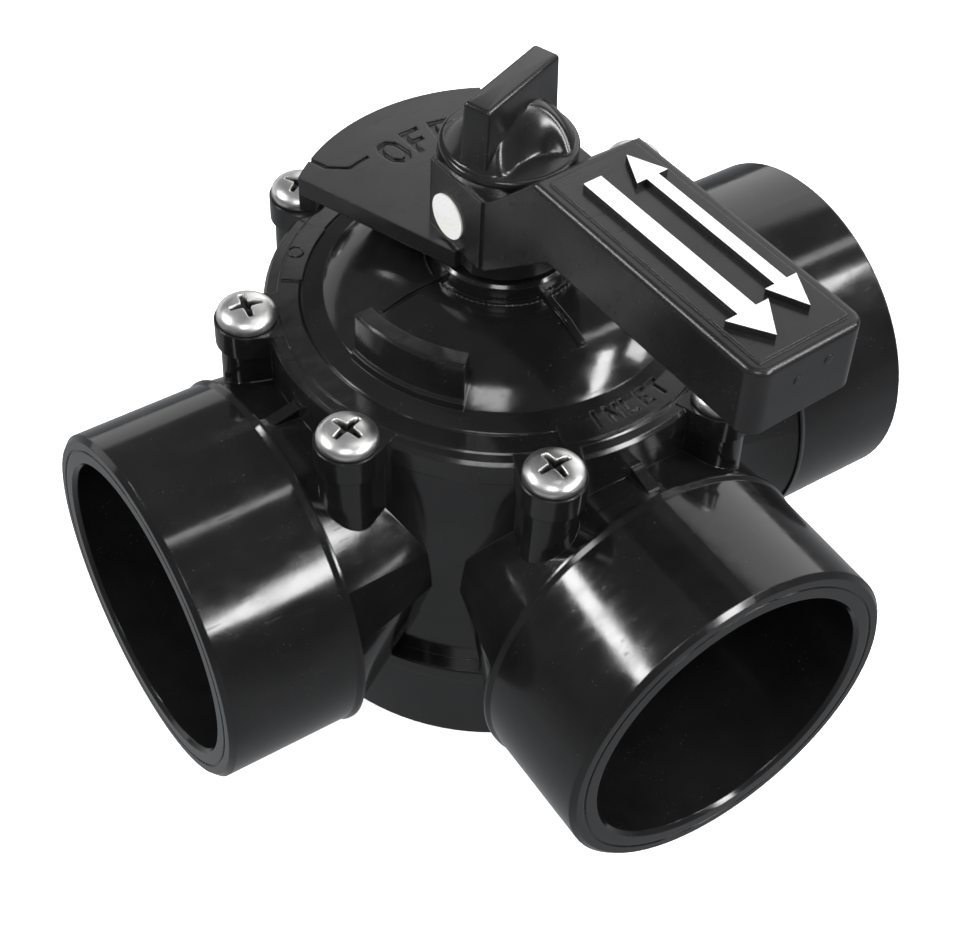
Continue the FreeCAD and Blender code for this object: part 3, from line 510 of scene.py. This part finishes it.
# Drum, seat, shank and point, below the crown: radius and height above the seat.
below_crown = np.array([(screw_head_radius, 0.35 * MM), (screw_head_radius * 0.965, 0.02 * MM),
                        (3.0 * MM, 0.0), (2.4 * MM, -0.3 * MM), (2.4 * MM, -18.6 * MM),
                        (1.2 * MM, -20.0 * MM)])


def screw_shell(turn, around=112):
    """A screw about its own axis: crown, drum, seat, shank and point, ring by ring. The crown's
    height falls with the root of one less the radius's power."""
    share = np.sin(np.linspace(0.02, math.pi / 2, 56))
    crown_rise = screw_head_height - brow_height
    crown_high = brow_height + crown_rise * (1 - share ** crown_power) ** 0.5
    radii = np.concatenate([screw_head_radius * share, below_crown[:, 0]])
    heights = np.concatenate([crown_high, below_crown[:, 1]])
    ring, sweep = turn_grid(radii, around)
    dent = cross_dent(ring * np.cos(sweep - turn), ring * np.sin(sweep - turn))
    dent[len(share):] = 0
    points = np.stack([ring * np.cos(sweep), ring * np.sin(sweep), heights[:, None] - dent], -1)
    vertices, faces = closed_shell(points[:, ::-1])
    uv_pairs = np.stack([sweep[:, ::-1] / (2 * math.pi), ring / screw_head_radius], -1)
    uv_pairs = np.concatenate([uv_pairs.reshape(-1, 2), [[0, 0], [0, 0]]])
    # Painted shade: the deeper the dent, the darker the cross is painted.
    recess_shade = smooth(dent[:, ::-1], 0.15 * MM, 1.0 * MM).ravel() * deepest_shade
    return vertices, faces, uv_pairs, np.concatenate([recess_shade, [deepest_shade, 0]])


# %% Set the eight screws
screw_turns = np.radians([12, 64, 31, 80, 18, 3, 10, 47])
first_bearing, bearing_step = 22.5, 45
# Each screw also brings the painted shade of its cross.
shells, maps, shaded_recesses = [], [], []
for number, turn in enumerate(screw_turns):
    vertices, faces, uv_pairs, recess_shade = screw_shell(turn)
    bearing = math.radians(first_bearing + bearing_step * number)
    seat = np.array([bolt_circle * math.cos(bearing), bolt_circle * math.sin(bearing),
                     screw_high.z - screw_head_height])
    shells.append((vertices + seat, faces))
    maps.append(uv_pairs)
    shaded_recesses.append(recess_shade)
cover_screw_set = make_piece("cover_screw_set", shells, screw_steel, "housing",
                             np.concatenate(maps), np.concatenate(shaded_recesses))
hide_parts("cover_screws")

# %% [markdown]
# ## The locking knob
#
# A round foot carries a flat blade to turn it by, and beside the blade the plastic swells into
# a low mound with a finger dish. In CAD the mound is a plain turned cone. Here it is a height
# field again: a dome that falls to the rim, minus a dish on each side of the blade. The blade
# is a stack of rounded rectangles, the usual way to loft a softly edged slab.

# %% Foot and mound of the knob
knob_turn = math.radians(21.5)
knob_radius = 13.0 * MM
rim_height = 1.8 * MM
# The dome ends and the rim's round begins at this share of the radius, and the round takes
# the rest of it.
dome_share, round_share = 0.93, 0.07
dome_rise, dome_power = 8.6 * MM, 2.4
dish_along, dish_across = 3.4 * MM, 8.0 * MM
dish_long, dish_wide, dish_depth = 6.0 * MM, 4.4 * MM, 6.6 * MM


def turned(points, angle):
    """The points turned about Z."""
    c, s = math.cos(angle), math.sin(angle)
    across = points[..., 0] * c - points[..., 1] * s
    along = points[..., 0] * s + points[..., 1] * c
    return np.stack([across, along, points[..., 2]], axis=-1)


def knob_mound(around=144):
    """Dome height falls with the radius's power; each finger dish takes a round bite beside the
    blade, the same on both sides after half a turn."""
    inner = np.linspace(0.02, dome_share, 46) * knob_radius
    outer = knob_radius * (dome_share + round_share * np.sin(QUARTER_ROUND))
    radii = np.concatenate([inner, outer, [knob_radius, knob_radius * 0.97, knob_radius * 0.3]])
    ring, sweep = turn_grid(radii, around)
    u, v = ring * np.cos(sweep), ring * np.sin(sweep)
    dome = dome_rise * (1 - np.clip(ring / (dome_share * knob_radius), 0, 1) ** dome_power)
    side = np.where(v < 0, 1.0, -1.0)
    bite_u = (u * side + dish_along) / dish_long
    bite_v = (np.abs(v) - dish_across) / dish_wide
    bite = np.exp(-(bite_u ** 2 + bite_v ** 2) ** 1.6)
    high = rim_height + np.maximum(dome - dish_depth * bite, 0)
    lean = np.concatenate([np.zeros(len(inner)), QUARTER_ROUND])
    high[:len(lean)] -= ((1 - np.cos(lean)) * 0.8 * MM)[:, None]
    high[-3], high[-2], high[-1] = 0.3 * MM, 0.0, 0.0
    return closed_shell(np.stack([u, v, high], -1)[:, ::-1])


# %% The blade and the whole knob
blade_low, blade_high = 1.2 * MM, knob_high.z - knob_low.z
blade_edge = 0.8 * MM
# Half the blade's length and thickness at its root, and how much each loses up to the crest.
half_long_root, half_long_loss = 11.6 * MM, 0.5 * MM
half_wide_root, half_wide_loss = 3.0 * MM, 0.2 * MM


def knob_blade(steps=9, corner_steps=8):
    """Rounded rectangles from the foot to the crest; near the crest they shrink along a quarter
    circle, so the top edge is round."""
    straight_end = blade_high - blade_edge
    rise = np.concatenate([np.linspace(blade_low, straight_end, steps),
                           straight_end + blade_edge * np.sin(QUARTER_ROUND)])
    inset = np.concatenate([np.zeros(steps), blade_edge * (1 - np.cos(QUARTER_ROUND))])
    share = (rise - blade_low) / (blade_high - blade_low)
    half_long = half_long_root - half_long_loss * share - inset
    half_wide = half_wide_root - half_wide_loss * share - inset
    quarter = np.linspace(0, math.pi / 2, corner_steps)
    angle = np.concatenate([quarter + turn * math.pi / 2 for turn in range(4)])
    sign_u = np.repeat([1, -1, -1, 1], corner_steps)
    sign_v = np.repeat([1, 1, -1, -1], corner_steps)
    round_off = np.maximum(blade_edge * 0.9 - inset * 0.6, 0.2 * MM)[:, None]
    u = sign_u * (half_long[:, None] - round_off) + round_off * np.cos(angle)
    v = sign_v * (half_wide[:, None] - round_off) + round_off * np.sin(angle)
    points = np.stack([u, v, np.repeat(rise[:, None], len(angle), axis=1)], -1)
    return closed_shell(points[::-1, ::-1])


knob_foot = np.array([0, 0, knob_low.z])
knob_shells = [(turned(points, knob_turn) + knob_foot, faces)
               for points, faces in (knob_mound(), knob_blade())]
wing_knob = make_piece("wing_knob", knob_shells, knob_black, "locking_knob")
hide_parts("locking_knob")


# %% [markdown]
# ## Small moulding marks
#
# A moulded part keeps marks of its tool: a bead of flash where the neck's insert met the dome,
# a round witness where an ejector pin pushed, and the stub of the gate on the grip's end. They
# are only tenths of a millimetre high, but each catches its own point of light. The bead is a
# ring of round section whose thickness ripples, and the marks are low discs with a soft brow.

# %% A rippled ring
def ring_shell(radius, thick, ripple, waves, centre, around=720, section=10):
    """A closed ring about Z: the section's radius is thick, plus ripple times the cosine of waves
    times the turn."""
    sweep, tilt = np.meshgrid(once_round(around), once_round(section), indexing="ij")
    wire = thick + ripple * np.cos(waves * sweep)
    out = radius + wire * np.cos(tilt)
    points = np.stack([out * np.cos(sweep), out * np.sin(sweep), wire * np.sin(tilt)], -1)
    ring, step = np.meshgrid(np.arange(around), np.arange(section), indexing="ij")
    beside, next_step = (ring + 1) % around, (step + 1) % section
    faces = np.stack([ring * section + step, beside * section + step,
                      beside * section + next_step, ring * section + next_step], -1)
    return points.reshape(-1, 3) + np.asarray(centre), faces.reshape(-1, 4).tolist()


bead = ring_shell(radius=14.9 * MM, thick=0.34 * MM, ripple=0.13 * MM, waves=84,
                  centre=(0, 0, 94.1 * MM))
neck_bead = make_piece("neck_bead", [bead], cover_black, "housing")


# %% A low round mark
def button_shell(radius, height, centre, normal, around=48):
    """A low disc with a round brow, standing on a point of a surface along its normal."""
    lean = np.linspace(0, math.pi / 2, 6)
    radii = np.concatenate([[0.05, 0.4, 0.7], 0.72 + 0.28 * np.sin(lean), [1.0, 0.2]]) * radius
    heights = np.concatenate([[1, 1, 1], np.cos(lean) * 0.9 + 0.1, [-1.0, -1.0]]) * height
    ring, sweep = turn_grid(radii, around)
    out = np.asarray(normal, float) / np.linalg.norm(normal)
    first = np.cross(out, [0, 0, 1.0] if abs(out[2]) < 0.9 else [1.0, 0, 0])
    first /= np.linalg.norm(first)
    second = np.cross(out, first)
    points = (np.asarray(centre, float) + ring[..., None] * np.cos(sweep)[..., None] * first
              + ring[..., None] * np.sin(sweep)[..., None] * second
              + heights[:, None, None] * out)
    return closed_shell(points[:, ::-1])


# %% Marks on the grip's end
handle_turn = math.radians(3.5)
grip_way = np.array([math.sin(handle_turn), -math.cos(handle_turn), 0])
grip_side = np.array([math.cos(handle_turn), math.sin(handle_turn), 0])
grip_end = 78.6 * MM


def grip_mark(radius, height, aside, up):
    """A mark on the grip's end face, aside from its middle and up from the foot, in
    millimetres."""
    centre = grip_way * grip_end + grip_side * aside * MM + np.array([0, 0, up * MM])
    return button_shell(radius * MM, height * MM, centre, grip_way)


gate = grip_mark(radius=0.9, height=0.16, aside=-2.5, up=125.5)
pin_mark = grip_mark(radius=1.0, height=0.1, aside=4.0, up=126.5)
grip_marks = make_piece("grip_marks", [gate, pin_mark], handle_black, "rotor")


# %% Marks on the cover
def place_round_stem(radius, degrees, height):
    """A place given by its distance from the stem, its bearing and its height in millimetres."""
    bearing = math.radians(degrees)
    return np.array([radius * math.cos(bearing), radius * math.sin(bearing), height]) * MM


witness_ring = ring_shell(radius=1.5 * MM, thick=0.22 * MM, ripple=0.0, waves=1,
                          centre=place_round_stem(41.6, 134, 85.05), around=48, section=8)
pin_marks = [button_shell(0.9 * MM, 0.12 * MM, place_round_stem(37.5, degrees, 84.55), (0, 0, 1))
             for degrees in (205, 330)]
cover_marks = make_piece("cover_marks", [witness_ring, *pin_marks], cover_black,
                         "housing")

# %% [markdown]
# ## The table
#
# The table is a wide white sheet with a glow of its own, which fills the valve's shadow. The
# valve neither mirrors it nor takes light from it: what the black sees below is the room's
# floor, paler than its walls.

# %% Table
def make_table(reach=3.0, height=-0.4 * MM, glow=0.9):
    """A wide white sheet. Glow is the light it gives off itself, which fills the valve's shadow
    as a table lit from below does."""
    mesh = bpy.data.meshes.new("table_top")
    corners = [(-reach, -reach, height), (reach, -reach, height), (reach, reach, height),
               (-reach, reach, height)]
    mesh.from_pydata(corners, [], [(0, 1, 2, 3)])
    sheet = bpy.data.objects.new("table_top", mesh)
    bpy.context.scene.collection.objects.link(sheet)
    material, tree, shader, place = start_material("table_paper")
    clouds = noise(tree, place, scale=6.0)
    tree.links.new(mix_colours(tree, clouds, (0.86, 0.86, 0.86, 1), (0.89, 0.89, 0.885, 1)),
                   shader.inputs["Base Color"])
    shader.inputs["Roughness"].default_value = 0.75
    shader.inputs["Emission Color"].default_value = (1.0, 1.0, 1.0, 1.0)
    shader.inputs["Emission Strength"].default_value = glow
    mesh.materials.append(material)
    sheet.visible_diffuse = False
    sheet.visible_glossy = False


make_table()


# %% [markdown]
# ## The light
#
# Glossy black shows what stands around it more than its own colour. The studio is a dim room
# with a few bright shapes: a long strip over the table, a tall lamp in front, small ones at
# the back left, the right and over the lens, and broad pale walls on the right and behind
# that give the flat tops their grey sheen. Two more lamps aren't mirrored: they only brighten
# the table top and the white label.

# %% Lamps
UPRIGHT, SIDEWAYS = (0, 0, 1), (1, 0, 0)
lit_point = Vector((0, 0, 0.05))


def soft_lamp(name, direction, distance, size, brightness, along, mirrored):
    """A rectangular lamp that looks at the valve from a direction. size is its width and its
    length in metres, along the way its length runs, and brightness its surface's radiance."""
    away = Vector(direction).normalized()
    lengthwise = Vector(along)
    lengthwise = (lengthwise - away * lengthwise.dot(away)).normalized()
    widthwise = lengthwise.cross(away)
    data = bpy.data.lights.new(name, "AREA")
    data.shape = "RECTANGLE"
    data.size, data.size_y = size
    data.energy = brightness * math.pi * size[0] * size[1]
    lamp = bpy.data.objects.new(name, data)
    turn = Matrix((widthwise, lengthwise, away)).transposed().to_4x4()
    lamp.matrix_world = Matrix.Translation(lit_point + away * distance) @ turn
    lamp.visible_glossy = mirrored
    bpy.context.scene.collection.objects.link(lamp)


# Name, direction, distance, size, brightness, the way its length runs, and is it mirrored.
lamps = [
    ("overhead_strip", (0.50, -0.14, 1.0), 1.2, (0.09, 1.0), 5.5, SIDEWAYS, True),
    ("front_strip", (0.40, -0.68, 0.60), 1.3, (0.18, 1.1), 22.0, (0.33, 1.03, 0.2), True),
    ("back_left_lamp", (-0.62, 0.45, 0.64), 1.3, (0.14, 0.6), 24.0, (1, 0.9, 0.5), True),
    ("right_lamp", (0.77, -0.39, 0.48), 1.3, (0.22, 0.30), 14.0, UPRIGHT, True),
    ("lens_lamp", (-0.40, -0.49, 0.77), 1.4, (0.40, 0.40), 9.0, UPRIGHT, True),
    ("right_wall", (0.80, 0.50, 0.42), 1.8, (2.0, 1.5), 1.35, UPRIGHT, True),
    ("back_wall", (-0.15, 1.0, 0.02), 2.0, (2.6, 0.8), 0.7, UPRIGHT, True),
    ("table_wash", (0.0, 0.1, 1.0), 2.2, (2.4, 2.4), 1.15, SIDEWAYS, False),
    ("left_fill", (-1.0, -0.25, 0.3), 1.8, (1.6, 1.2), 2.7, UPRIGHT, False),
]
for lamp in lamps:
    soft_lamp(*lamp)
print(len(lamps), "lamps")

# %% The dim room
floor_glow, wall_glow = 0.36, 0.16
world = bpy.data.worlds.new("dim_room")
bpy.context.scene.world = world
world.use_nodes = True
room = world.node_tree
background = room.nodes["Background"]
background.inputs["Color"].default_value = (0.95, 0.97, 1.0, 1.0)
towards = add(room, "ShaderNodeTexCoord").outputs["Generated"]
upward = add(room, "ShaderNodeSeparateXYZ", {"Vector": towards}).outputs["Z"]
room.links.new(between(room, upward, (-0.5, -0.1), (floor_glow, wall_glow)),
               background.inputs["Strength"])
bpy.context.scene.view_settings.view_transform = "Standard"
print("room's floor", floor_glow, "and walls", wall_glow)

# %% [markdown]
# ## The camera
#
# The camera looks down on the branch port from the front left. Three lengths say where it
# stands, and two angles and a small roll say how it is aimed, as a tripod head would show them.

# %% Camera
camera_place = Vector((-0.1649, -0.2311, 0.3408))
camera_azimuth = math.radians(-125.26)
camera_elevation = math.radians(47.16)
camera_roll = math.radians(2.87)
sensor_width, focal_length = 36.0, 72.32

back = Vector((math.cos(camera_elevation) * math.cos(camera_azimuth),
               math.cos(camera_elevation) * math.sin(camera_azimuth),
               math.sin(camera_elevation)))
level = Vector((0, 0, 1)).cross(back).normalized()
upright = back.cross(level)
right = level * math.cos(camera_roll) + upright * math.sin(camera_roll)
camera_data = bpy.data.cameras.new("camera")
camera_data.sensor_width = sensor_width
camera_data.sensor_fit = "HORIZONTAL"
camera_data.lens = focal_length
camera_data.clip_start = 0.01
camera = bpy.data.objects.new("camera", camera_data)
camera.matrix_world = (Matrix.Translation(camera_place)
                       @ Matrix((right, back.cross(right), back)).transposed().to_4x4())
bpy.context.scene.collection.objects.link(camera)
bpy.context.scene.camera = camera
print("camera stands", round(camera_place.length, 3), "m from the foot")
